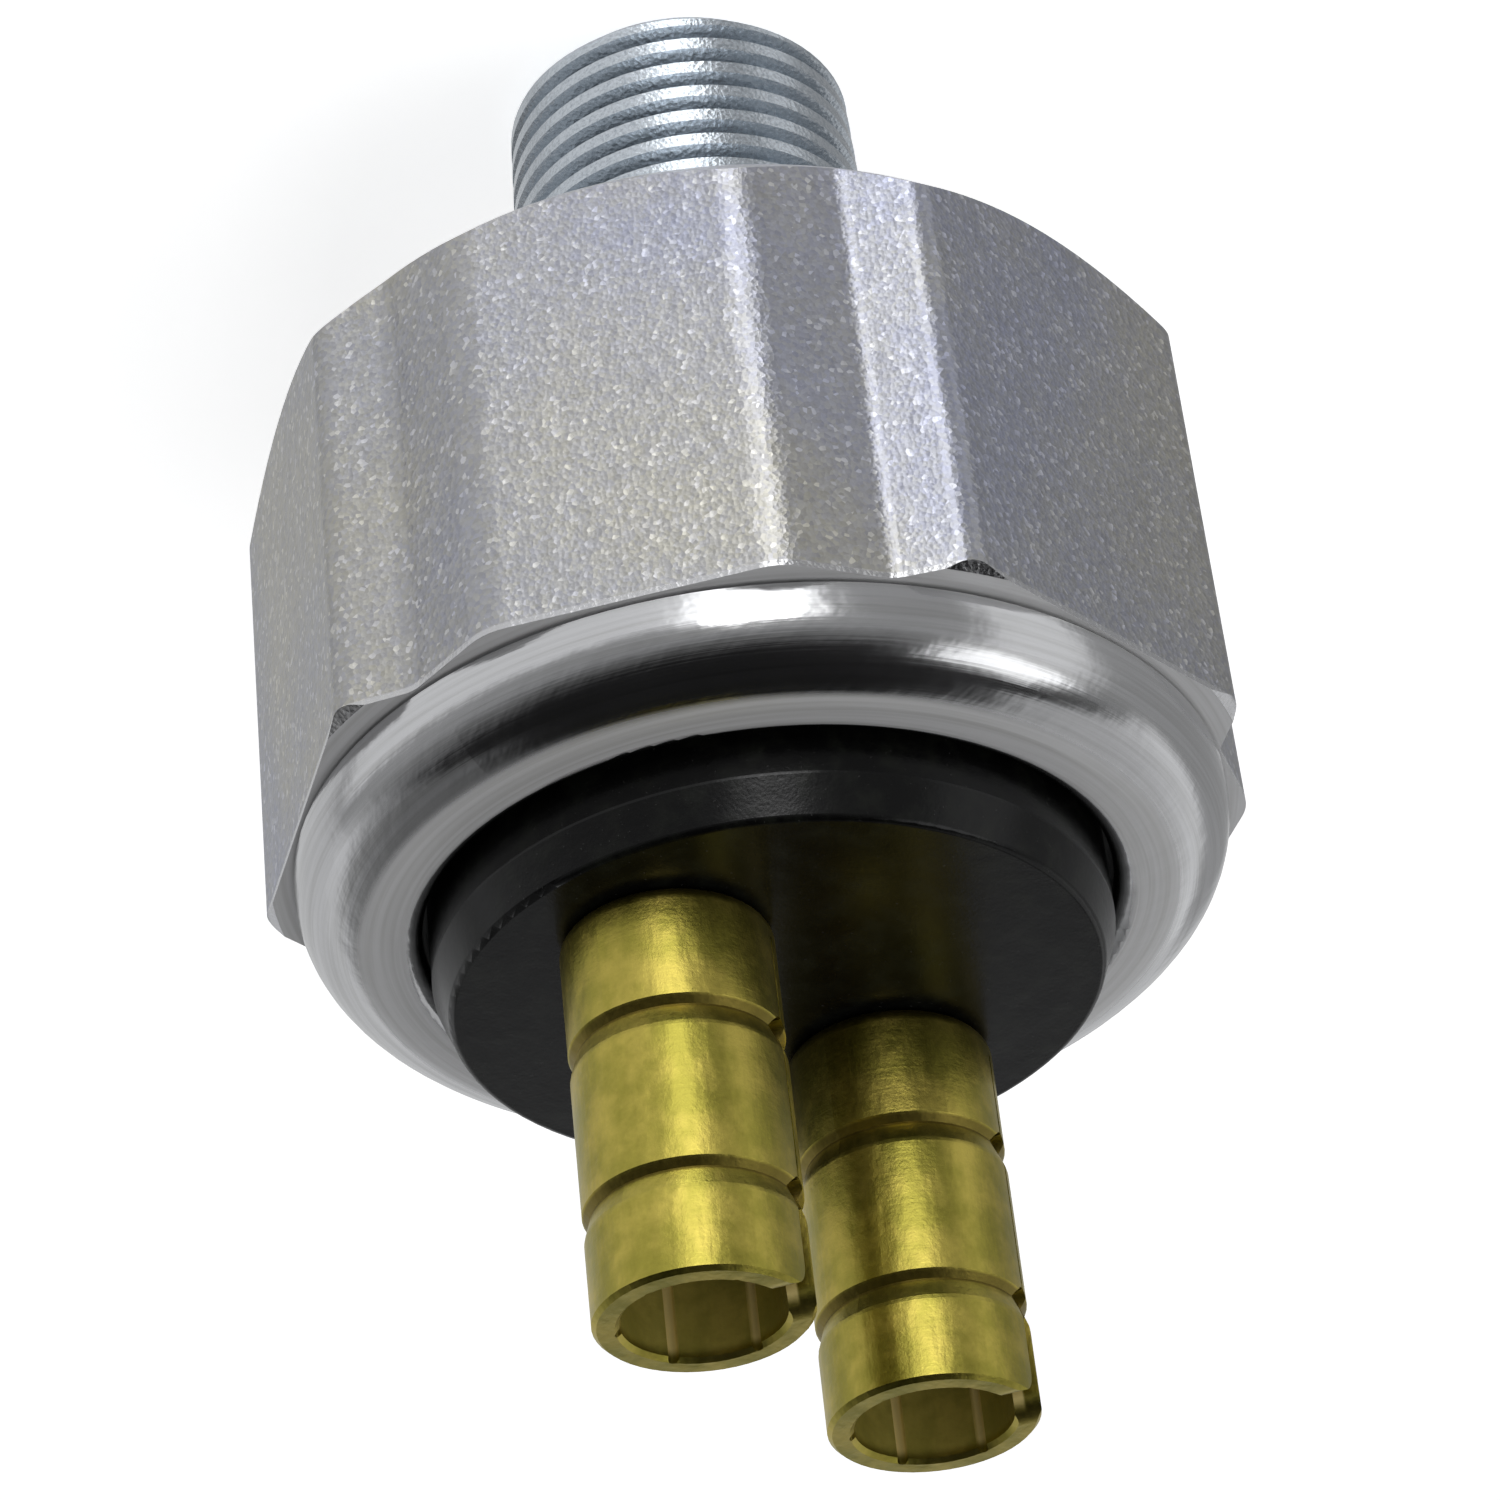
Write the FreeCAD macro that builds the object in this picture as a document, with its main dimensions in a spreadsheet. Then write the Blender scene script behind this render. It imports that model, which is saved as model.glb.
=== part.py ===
import FreeCAD, Part
import math
import os
import Sketcher

# Hydraulic pressure switch with a 1/8-27 NPT stem and two bullet sockets.
#
# Frame, in millimetres: the origin is the centre of the stem's end face, +Z runs
# along the switch from the stem to the sockets, and the two sockets stand on the
# X axis.

# ---------------------------------------------------------------- dimensions

SIZES = {
    # threaded stem, 1/8-27 NPT
    "stem_length": 12.7,
    "stem_end_radius": 5.06,
    "stem_crest_radius": 5.40,
    "stem_chamfer": 0.75,
    "land_radius": 5.25,
    "land_length": 1.8,
    "foot_round": 0.35,
    "thread_pitch": 0.9407,
    "thread_depth": 0.64,
    "thread_half_width": 0.40,
    "thread_root_half_width": 0.05,
    "thread_outside": 0.35,
    "thread_run_in": 0.9,
    "thread_taper": 1.79,
    # hexagon
    "across_flats": 25.4,
    "hex_height": 13.8,
    "hex_turn": 34.6,
    "corner_radius": 13.6,
    "flute_radius": 12.65,
    "flute_shallow_width": 4.0,
    "flute_shallow_rise": 0.39,
    "flute_steep_width": 3.0,
    "flute_steep_rise": 1.49,
    "flute_outside": 3.0,
    "flute_round": 0.9,
    "shallow_ridge_round": 1.8,
    "steep_ridge_round": 0.9,
    "stem_side_face_radius": 12.35,
    "stem_side_chamfer": 1.25,
    "collar_side_face_radius": 13.3,
    "collar_side_chamfer": 0.2,
    "turning_allowance": 3.0,
    # rolled collar
    "collar_neck_radius": 12.3,
    "collar_radius": 12.65,
    "collar_neck_height": 0.08,
    "collar_height": 2.5,
    "collar_round": 2.1,
    "lip_radius": 9.3,
    "lip_round": 0.6,
    "lip_thickness": 1.5,
    "undercut_width": 0.1,
    "undercut_depth": 0.15,
    # bores of the housing
    "port_radius": 1.6,
    "port_chamfer": 0.5,
    "floor_height": 16.2,
    "pressure_recess_radius": 5.0,
    "pressure_recess_depth": 0.6,
    "lower_bore_radius": 9.4,
    "upper_bore_radius": 10.9,
    "wall_gap": 0.1,
    # pieces stacked on the floor
    "diaphragm_thickness": 0.8,
    "diaphragm_bead_radius": 5.1,
    "diaphragm_bead_width": 0.5,
    "diaphragm_bead_height": 0.35,
    "clamp_thickness": 2.3,
    "clamp_hole_radius": 5.7,
    "guide_thickness": 1.0,
    "guide_hole_radius": 3.1,
    "liner_thickness": 0.8,
    "gasket_thickness": 1.0,
    # contact carrier
    "plate_radius": 4.3,
    "plate_thickness": 0.4,
    "piston_head_radius": 4.1,
    "piston_head_thickness": 0.9,
    "piston_stem_radius": 3.0,
    "piston_height": 3.5,
    "spigot_radius": 1.0,
    "spigot_height": 1.9,
    "disc_radius": 7.2,
    "disc_thickness": 0.6,
    "retainer_radius": 1.95,
    "retainer_thickness": 0.4,
    "contact_gap": 0.8,
    # insulator
    "flange_height": 3.0,
    "boss_radius": 9.15,
    "boss_height": 3.65,
    "boss_chamfer_width": 0.42,
    "boss_chamfer_height": 1.15,
    "boss_edge_round": 0.2,
    "spring_recess_radius": 2.05,
    "spring_recess_depth": 2.0,
    "rivet_hole_radius": 1.3,
    "hole_overshoot": 0.5,
    # sockets and their rivets
    "socket_offset": 4.58,
    "socket_length": 11.1,
    "socket_radius": 2.8,
    "socket_bore_radius": 2.1,
    "socket_floor": 0.7,
    "socket_base_round": 0.45,
    "socket_mouth_chamfer": 0.12,
    "upper_bead_from_mouth": 2.9,
    "lower_bead_from_mouth": 7.55,
    "bead_half_width": 0.27,
    "bead_flat_half_width": 0.06,
    "bead_ramp": 0.55,
    "bead_depth": 0.19,
    "bead_shoulder_round": 0.4,
    "rib_radius": 0.15,
    "rib_angle": 298,
    "rib_span": 240,
    "seam_angle": -112.0,
    "seam_gap": 0.12,
    "slot_gap": 0.62,
    "slot_corner_round": 0.75,
    "seam_notch_radius": 0.42,
    "rivet_radius": 1.25,
    "rivet_head_radius": 1.9,
    "rivet_head_thickness": 0.6,
    "rivet_tail_radius": 1.75,
    "rivet_tail_height": 0.55,
    "washer_radius": 2.2,
    "washer_thickness": 0.4,
    "tip_radius": 1.5,
    "tip_round": 0.25,
    # return spring
    "spring_mean_radius": 1.6,
    "spring_wire_radius": 0.25,
    "spring_pitch": 0.9,
}

# Heights of the faces along the switch, as sums of the sizes above.
SHOULDER = "stem_length + hex_height"
COLLAR_TOP = SHOULDER + " + collar_height"
FLANGE_TOP = COLLAR_TOP + " - lip_thickness"
INSULATOR_BASE = FLANGE_TOP + " - flange_height"
BOSS_TOP = FLANGE_TOP + " + boss_height"
GASKET_SEAT = INSULATOR_BASE + " - gasket_thickness"
DIAPHRAGM_TOP = "floor_height + diaphragm_thickness"
CLAMP_TOP = DIAPHRAGM_TOP + " + clamp_thickness"
GUIDE_TOP = CLAMP_TOP + " + guide_thickness"
PLATE_TOP = DIAPHRAGM_TOP + " + plate_thickness"
DISC_SEAT = PLATE_TOP + " + piston_height"
DISC_TOP = DISC_SEAT + " + disc_thickness"
RETAINER_TOP = DISC_TOP + " + retainer_thickness"
TIP_FACE = DISC_TOP + " + contact_gap"
HEAD_FACE = INSULATOR_BASE + " - washer_thickness - rivet_head_thickness"
SPRING_SEAT = INSULATOR_BASE + " + spring_recess_depth"
MOUTH = BOSS_TOP + " + socket_length"
LINER_RADIUS = "lower_bore_radius - wall_gap"

ZERO = "zero"
AXIS = ZERO
ORIGIN_HEIGHT = ZERO

HEX_SIDES = 6
HALF_SIDE_ANGLE = 30
FLUTE_CORNERS = ((270, 1), (330, -1))
RIB_COUNT = 5
BEAD_LEVELS = ("lower", "upper")
EDGE_SLACK = 0.05

# A sketch's own axes, as its constraints number them.
LEVEL_AXIS = -1
UPRIGHT_AXIS = -2

doc = FreeCAD.newDocument("pressure_switch")
sheet = doc.addObject("Spreadsheet::Sheet", "dims")
for row, (alias, number) in enumerate(SIZES.items(), 1):
    sheet.set(f"A{row}", alias)
    sheet.set(f"B{row}", str(number))
    sheet.setAlias(f"B{row}", alias)
doc.recompute()


# ------------------------------------------------------------------- helpers

def value_of(total):
    """Number that a sum of size names such as 'a + b - c' stands for."""
    if total == ZERO:
        return 0.0
    number = 0.0
    sign = 1
    for word in total.split():
        if word in ("+", "-"):
            sign = 1 if word == "+" else -1
        else:
            number += sign * SIZES[word]
    return number


def bound(total):
    """The same sum as an expression on the sheet's aliases."""
    words = total.split()
    return " ".join(word if word in ("+", "-") else "dims." + word for word in words)


def bind(item, **sums):
    """Bind properties of a feature to sums of sizes."""
    for name, total in sums.items():
        item.setExpression(name, bound(total))


def plane(body, role):
    return next(item for item in body.Origin.OriginFeatures if item.Role == role)


def new_body(label):
    body = doc.addObject("PartDesign::Body", label)
    body.Label = label
    return body


def hold(sketch, corner, kind, total, axis):
    """Keep a corner on an axis of its sketch, or at the distance from it that a sum says."""
    if total == ZERO:
        sketch.addConstraint(Sketcher.Constraint("PointOnObject", corner, 1, axis))
        return
    index = sketch.addConstraint(Sketcher.Constraint(kind, -1, 1, corner, 1, value_of(total)))
    sketch.setExpression(f"Constraints[{index}]", bound(total))


def outline(body, name, role, points):
    """Closed outline in one of the body's planes, through corners that are pairs of sums."""
    sketch = body.newObject("Sketcher::SketchObject", name)
    sketch.AttachmentSupport = [(plane(body, role), "")]
    sketch.MapMode = "FlatFace"
    corners = [FreeCAD.Vector(value_of(across), value_of(along), 0) for across, along in points]
    count = len(corners)
    lines = [Part.LineSegment(corners[i], corners[(i + 1) % count]) for i in range(count)]
    sketch.addGeometry(lines, False)
    for i in range(count):
        sketch.addConstraint(Sketcher.Constraint("Coincident", i, 2, (i + 1) % count, 1))
    for i, (across, along) in enumerate(points):
        hold(sketch, i, "DistanceX", across, UPRIGHT_AXIS)
        hold(sketch, i, "DistanceY", along, LEVEL_AXIS)
    return sketch


def turn(body, kind, name, points, upright="XZ_Plane"):
    """Revolution or Groove about the Z axis of a half-profile of (radius, height) corners."""
    sketch = outline(body, name + "_profile", upright, points)
    feature = body.newObject("PartDesign::" + kind, name)
    feature.Profile = sketch
    feature.ReferenceAxis = (sketch, ["V_Axis"])
    feature.Angle = 360
    doc.recompute()
    return feature


def turned_piece(label, points):
    """A piece that is one solid of revolution."""
    body = new_body(label)
    turn(body, "Revolution", label + "_turned", points)
    return body


def ring(label, inner, outer, bottom, top):
    """A flat ring or tube."""
    return turned_piece(label, [(inner, bottom), (outer, bottom), (outer, top), (inner, top)])


def round_edges(body, name, base, edges, size):
    """Fillet of the named edges, with its radius bound to a size."""
    fillet = body.newObject("PartDesign::Fillet", name)
    fillet.Base = (base, edges)
    fillet.Radius = SIZES[size]
    bind(fillet, Radius=size)
    doc.recompute()
    return fillet


def circle_edges(feature, radius, height):
    """Names of the round edges with this radius at this height."""
    found = []
    for number, edge in enumerate(feature.Shape.Edges, 1):
        if not isinstance(edge.Curve, Part.Circle):
            continue
        same_size = abs(edge.Curve.Radius - value_of(radius)) < 0.01
        same_height = abs(edge.Curve.Center.z - value_of(height)) < 0.01
        if same_size and same_height:
            found.append(f"Edge{number}")
    return found


def straight_edges(feature, fits):
    """Names of the straight edges whose direction and middle the function fits accepts."""
    found = []
    for number, edge in enumerate(feature.Shape.Edges, 1):
        if isinstance(edge.Curve, Part.Line) and fits(edge.Curve.Direction, edge.CenterOfMass):
            found.append(f"Edge{number}")
    return found


def upright_edges(feature, nearest, farthest):
    """Names of the edges that run along Z at a distance from the axis in this range."""
    def fits(direction, middle):
        return abs(direction.z) > 0.999 and nearest <= math.hypot(middle.x, middle.y) <= farthest
    return straight_edges(feature, fits)


def level_edges(feature, height):
    """Names of the straight edges that lie level at this height."""
    def fits(direction, middle):
        return abs(direction.z) < 0.01 and abs(middle.z - value_of(height)) < 0.01
    return straight_edges(feature, fits)


def cutter(body, kind, name, base, **sums):
    """Subtractive box or cylinder placed at a point of the body's own frame."""
    feature = body.newObject("PartDesign::Subtractive" + kind, name)
    feature.AttachmentSupport = [(plane(body, "XY_Plane"), "")]
    feature.MapMode = "FlatFace"
    feature.AttachmentOffset = base
    bind(feature, **sums)
    doc.recompute()
    return feature


# ------------------------------------------------------------------- housing

def lift_and_spin(item, angle):
    """Set a feature at the hexagon's lower face, turned with the hexagon and by an angle."""
    spin = FreeCAD.Rotation(FreeCAD.Vector(0, 0, 1), SIZES["hex_turn"] + angle)
    item.AttachmentOffset = FreeCAD.Placement(FreeCAD.Vector(0, 0, SIZES["stem_length"]), spin)
    item.setExpression("AttachmentOffset.Base.z", bound("stem_length"))
    item.setExpression("AttachmentOffset.Rotation.Angle", f"dims.hex_turn + {angle}")


def cut_flute(body, corner, hand):
    """V-shaped flute along one corner: its shallow wall is on the side that hand says."""
    shallow, steep = ("", "- ") if hand > 0 else ("- ", "")
    floor = "flute_radius"
    outside = floor + " + flute_outside"
    sketch = outline(body, f"flute_profile_{corner}", "XY_Plane", [
        (floor, ZERO),
        (floor + " + flute_shallow_rise", shallow + "flute_shallow_width"),
        (outside, shallow + "flute_shallow_width"),
        (outside, steep + "flute_steep_width"),
        (floor + " + flute_steep_rise", steep + "flute_steep_width"),
    ])
    lift_and_spin(sketch, corner)
    pocket = body.newObject("PartDesign::Pocket", f"flute_{corner}")
    pocket.Profile = sketch
    pocket.Reversed = True
    bind(pocket, Length="hex_height")
    doc.recompute()
    return pocket


def ridge_distance(wall):
    """Distance from the axis of the ridge where this wall of a flute meets the flat."""
    half_side = math.radians(HALF_SIDE_ANGLE)
    slope = SIZES[f"flute_{wall}_rise"] / SIZES[f"flute_{wall}_width"]
    to_flat = SIZES["across_flats"] / 2 - SIZES["flute_radius"] * math.cos(half_side)
    across = to_flat / (math.sin(half_side) + slope * math.cos(half_side))
    return math.hypot(SIZES["flute_radius"] + slope * across, across)


def make_housing():
    """Steel body: hexagon, threaded stem, stepped bore and the collar rolled over it."""
    body = new_body("housing")

    hexagon = body.newObject("PartDesign::AdditivePrism", "hexagon")
    hexagon.AttachmentSupport = [(plane(body, "XY_Plane"), "")]
    hexagon.MapMode = "FlatFace"
    hexagon.Polygon = HEX_SIDES
    lift_and_spin(hexagon, HALF_SIDE_ANGLE)
    hexagon.setExpression("Circumradius", f"dims.across_flats / 2 / cos({HALF_SIDE_ANGLE})")
    bind(hexagon, Height="hex_height")
    doc.recompute()
    flutes = [cut_flute(body, corner, hand) for corner, hand in FLUTE_CORNERS]
    pattern = body.newObject("PartDesign::PolarPattern", "flutes")
    pattern.Originals = flutes
    pattern.Axis = (flutes[0].Profile[0], ["N_Axis"])
    pattern.Angle = 360
    pattern.Occurrences = HEX_SIDES // len(FLUTE_CORNERS)
    body.Tip = pattern
    doc.recompute()
    crease_radius = SIZES["flute_radius"]
    creases = upright_edges(pattern, crease_radius - EDGE_SLACK, crease_radius + EDGE_SLACK)
    fluted = round_edges(body, "creases", pattern, creases, "flute_round")
    for wall in ("shallow", "steep"):
        ridge = ridge_distance(wall)
        ridges = upright_edges(fluted, ridge - EDGE_SLACK, ridge + EDGE_SLACK)
        fluted = round_edges(body, f"{wall}_ridges", fluted, ridges, f"{wall}_ridge_round")

    outside = "corner_radius + turning_allowance"
    turn(body, "Groove", "turned_corners", [
        ("stem_side_face_radius", "stem_length"),
        ("corner_radius", "stem_length + stem_side_chamfer"),
        ("corner_radius", SHOULDER + " - collar_side_chamfer"),
        ("collar_side_face_radius", SHOULDER),
        ("collar_side_face_radius", SHOULDER + " + turning_allowance"),
        (outside, SHOULDER + " + turning_allowance"),
        (outside, "stem_length - turning_allowance"),
        ("stem_side_face_radius", "stem_length - turning_allowance"),
    ])

    land_start = "stem_length - land_length"
    turn(body, "Revolution", "stem_blank", [
        (AXIS, ORIGIN_HEIGHT),
        ("stem_end_radius - stem_chamfer", ORIGIN_HEIGHT),
        ("stem_end_radius", "stem_chamfer"),
        ("stem_crest_radius", land_start),
        ("land_radius", land_start),
        ("land_radius", "stem_length"),
        ("collar_neck_radius", "stem_length + stem_side_chamfer"),
        ("collar_neck_radius", SHOULDER + " + collar_neck_height"),
        ("collar_radius", SHOULDER + " + collar_neck_height + collar_neck_height"),
        ("collar_radius", COLLAR_TOP),
        (AXIS, COLLAR_TOP),
    ])

    turn(body, "Groove", "collar_undercut", [
        ("collar_neck_radius - undercut_depth", SHOULDER),
        ("collar_radius + turning_allowance", SHOULDER),
        ("collar_radius + turning_allowance", SHOULDER + " + undercut_width"),
        ("collar_neck_radius - undercut_depth", SHOULDER + " + undercut_width"),
    ])

    bore = turn(body, "Groove", "stepped_bore", [
        (AXIS, ORIGIN_HEIGHT),
        ("port_radius + port_chamfer", ORIGIN_HEIGHT),
        ("port_radius", "port_chamfer"),
        ("port_radius", "floor_height - pressure_recess_depth"),
        ("pressure_recess_radius", "floor_height - pressure_recess_depth"),
        ("pressure_recess_radius", "floor_height"),
        ("lower_bore_radius", "floor_height"),
        ("lower_bore_radius", GASKET_SEAT),
        ("upper_bore_radius", GASKET_SEAT),
        ("upper_bore_radius", FLANGE_TOP),
        ("lip_radius", FLANGE_TOP),
        ("lip_radius", COLLAR_TOP),
        (AXIS, COLLAR_TOP),
    ])

    collar = round_edges(body, "collar_roll", bore,
                         circle_edges(bore, "collar_radius", COLLAR_TOP), "collar_round")
    lip = round_edges(body, "lip_edge", collar,
                      circle_edges(collar, "lip_radius", COLLAR_TOP), "lip_round")
    round_edges(body, "stem_foot", lip, circle_edges(lip, "land_radius", "stem_length"), "foot_round")

    profile = outline(body, "thread_profile", "XZ_Plane", [
        ("stem_end_radius - thread_depth", "thread_half_width - thread_root_half_width"),
        ("stem_end_radius + thread_outside", ORIGIN_HEIGHT),
        ("stem_end_radius + thread_outside", "thread_half_width + thread_half_width"),
        ("stem_end_radius - thread_depth", "thread_half_width + thread_root_half_width"),
    ])
    profile.AttachmentOffset = FreeCAD.Placement(
        FreeCAD.Vector(0, -SIZES["thread_run_in"], 0), FreeCAD.Rotation())
    profile.setExpression("AttachmentOffset.Base.y", "-dims.thread_run_in")
    thread = body.newObject("PartDesign::SubtractiveHelix", "thread")
    thread.Profile = profile
    thread.ReferenceAxis = (profile, ["V_Axis"])
    thread.Mode = 0
    bind(thread, Pitch="thread_pitch", Angle="thread_taper",
         Height="stem_length - land_length + thread_run_in - thread_pitch - thread_half_width")
    doc.recompute()


# ------------------------------------------------- pieces stacked in the bore

def make_diaphragm():
    """Rubber disc that seals the port, with a bead where it flexes."""
    bead = "diaphragm_bead_radius"
    turned_piece("diaphragm", [
        (AXIS, "floor_height"),
        (LINER_RADIUS, "floor_height"),
        (LINER_RADIUS, DIAPHRAGM_TOP),
        (bead + " + diaphragm_bead_width", DIAPHRAGM_TOP),
        (bead, DIAPHRAGM_TOP + " + diaphragm_bead_height"),
        (bead + " - diaphragm_bead_width", DIAPHRAGM_TOP),
        (AXIS, DIAPHRAGM_TOP),
    ])


def make_stack():
    """Rings between the diaphragm and the insulator, and the seal under its flange."""
    ring("clamp_ring", "clamp_hole_radius", LINER_RADIUS, DIAPHRAGM_TOP, CLAMP_TOP)
    ring("guide_plate", "guide_hole_radius", LINER_RADIUS, CLAMP_TOP, GUIDE_TOP)
    ring("contact_liner", LINER_RADIUS + " - liner_thickness", LINER_RADIUS,
         GUIDE_TOP, INSULATOR_BASE)
    ring("rim_gasket", "lower_bore_radius + wall_gap", "upper_bore_radius - wall_gap",
         GASKET_SEAT, INSULATOR_BASE)


# ----------------------------------------------------------- contact carrier

def make_carrier():
    """Plate and piston that the diaphragm lifts, with the contact disc held on top."""
    turned_piece("pressure_plate", [
        (AXIS, DIAPHRAGM_TOP), ("plate_radius", DIAPHRAGM_TOP), ("plate_radius", PLATE_TOP),
        (AXIS, PLATE_TOP),
    ])
    turned_piece("piston", [
        (AXIS, PLATE_TOP),
        ("piston_head_radius", PLATE_TOP),
        ("piston_head_radius", PLATE_TOP + " + piston_head_thickness"),
        ("piston_stem_radius", PLATE_TOP + " + piston_head_thickness"),
        ("piston_stem_radius", DISC_SEAT),
        ("spigot_radius", DISC_SEAT),
        ("spigot_radius", DISC_SEAT + " + spigot_height"),
        (AXIS, DISC_SEAT + " + spigot_height"),
    ])
    ring("contact_disc", "spigot_radius", "disc_radius", DISC_SEAT, DISC_TOP)
    ring("disc_retainer", "spigot_radius", "retainer_radius", DISC_TOP, RETAINER_TOP)


def make_spring():
    """Coil spring between the retainer and the recess in the insulator."""
    body = new_body("return_spring")
    section = body.newObject("Sketcher::SketchObject", "spring_wire")
    section.AttachmentSupport = [(plane(body, "XZ_Plane"), "")]
    section.MapMode = "FlatFace"
    first_turn = RETAINER_TOP + " + spring_wire_radius"
    centre = FreeCAD.Vector(SIZES["spring_mean_radius"], value_of(first_turn), 0)
    normal = FreeCAD.Vector(0, 0, 1)
    section.addGeometry(Part.Circle(centre, normal, SIZES["spring_wire_radius"]), False)
    across = section.addConstraint(Sketcher.Constraint("DistanceX", -1, 1, 0, 3, centre.x))
    along = section.addConstraint(Sketcher.Constraint("DistanceY", -1, 1, 0, 3, centre.y))
    wire = section.addConstraint(Sketcher.Constraint("Radius", 0, SIZES["spring_wire_radius"]))
    section.setExpression(f"Constraints[{across}]", bound("spring_mean_radius"))
    section.setExpression(f"Constraints[{along}]", bound(first_turn))
    section.setExpression(f"Constraints[{wire}]", bound("spring_wire_radius"))
    coil = body.newObject("PartDesign::AdditiveHelix", "spring_coil")
    coil.Profile = section
    coil.ReferenceAxis = (section, ["V_Axis"])
    coil.Mode = 0
    last_turn = SPRING_SEAT + " - spring_wire_radius"
    bind(coil, Pitch="spring_pitch")
    coil.setExpression("Height", bound(last_turn) + " - (" + bound(first_turn) + ")")
    doc.recompute()


# ----------------------------------------------------------------- insulator

def make_insulator():
    """Moulded insulator: clamped flange, raised boss, rivet holes and a spring recess."""
    body = new_body("insulator")
    flange_radius = "upper_bore_radius - wall_gap"
    chamfer_foot = BOSS_TOP + " - boss_chamfer_height"
    moulding = turn(body, "Revolution", "moulding", [
        (AXIS, SPRING_SEAT),
        ("spring_recess_radius", SPRING_SEAT),
        ("spring_recess_radius", INSULATOR_BASE),
        (flange_radius, INSULATOR_BASE),
        (flange_radius, FLANGE_TOP),
        ("boss_radius", FLANGE_TOP),
        ("boss_radius", chamfer_foot),
        ("boss_radius - boss_chamfer_width", BOSS_TOP),
        (AXIS, BOSS_TOP),
    ], upright="YZ_Plane")
    edges = circle_edges(moulding, "boss_radius", chamfer_foot)
    edges += circle_edges(moulding, "boss_radius - boss_chamfer_width", BOSS_TOP)
    round_edges(body, "boss_edges", moulding, edges, "boss_edge_round")
    quarter_turn = FreeCAD.Rotation(FreeCAD.Vector(0, 0, 1), 90)
    hole_start = INSULATOR_BASE + " - hole_overshoot"
    for side, name in ((-1, "left"), (1, "right")):
        start = FreeCAD.Vector(side * SIZES["socket_offset"], 0, value_of(hole_start))
        hole = cutter(body, "Cylinder", "rivet_hole_" + name, FreeCAD.Placement(start, quarter_turn),
                      Radius="rivet_hole_radius",
                      Height="flange_height + boss_height + hole_overshoot + hole_overshoot")
        hole.setExpression("AttachmentOffset.Base.x", f"{side} * dims.socket_offset")
        hole.setExpression("AttachmentOffset.Base.z", bound(hole_start))
    doc.recompute()


# ------------------------------------------------------- sockets and rivets

def stand_on(body, side):
    """Move a piece from its own axis to one side's socket axis."""
    body.Placement = FreeCAD.Placement(
        FreeCAD.Vector(side * SIZES["socket_offset"], 0, 0), FreeCAD.Rotation())
    body.setExpression("Placement.Base.x", f"{side} * dims.socket_offset")


def outer_bead(from_mouth):
    """Corners of one rolled bead outside, going up: a steep step in, then a long ramp out."""
    centre = f"{MOUTH} - {from_mouth}"
    return [
        ("socket_radius", centre + " - bead_half_width"),
        ("socket_radius - bead_depth", centre + " - bead_flat_half_width"),
        ("socket_radius", centre + " + bead_ramp"),
    ]


def inner_bead(from_mouth):
    """Corners of the same bead in the bore, going down."""
    centre = f"{MOUTH} - {from_mouth}"
    crest = "socket_bore_radius - bead_depth"
    return [
        ("socket_bore_radius", centre + " + bead_half_width"),
        (crest, centre + " + bead_flat_half_width"),
        (crest, centre + " - bead_flat_half_width"),
        ("socket_bore_radius", centre + " - bead_half_width"),
    ]


SEAM_TURN = FreeCAD.Rotation(FreeCAD.Vector(0, 0, 1), SIZES["seam_angle"])
SEAM_REACH = SIZES["socket_radius"] + 1


def cut_seam(body, label, gap, start, height):
    """Straight cut through the wall of a socket, on the side where its sheet meets."""
    corner = SEAM_TURN.multVec(FreeCAD.Vector(0, -SIZES[gap] / 2, 0))
    corner.z = value_of(start)
    cut = cutter(body, "Box", label, FreeCAD.Placement(corner, SEAM_TURN), Width=gap, Height=height)
    cut.Length = SEAM_REACH
    doc.recompute()
    return cut


def cut_notch(body, label, height):
    """Round nick in the seam at one bead."""
    outwards = SEAM_TURN.multiply(FreeCAD.Rotation(FreeCAD.Vector(0, 1, 0), 90))
    start = FreeCAD.Vector(0, 0, value_of(height))
    notch = cutter(body, "Cylinder", label, FreeCAD.Placement(start, outwards),
                   Radius="seam_notch_radius")
    notch.Height = SEAM_REACH
    doc.recompute()


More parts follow.
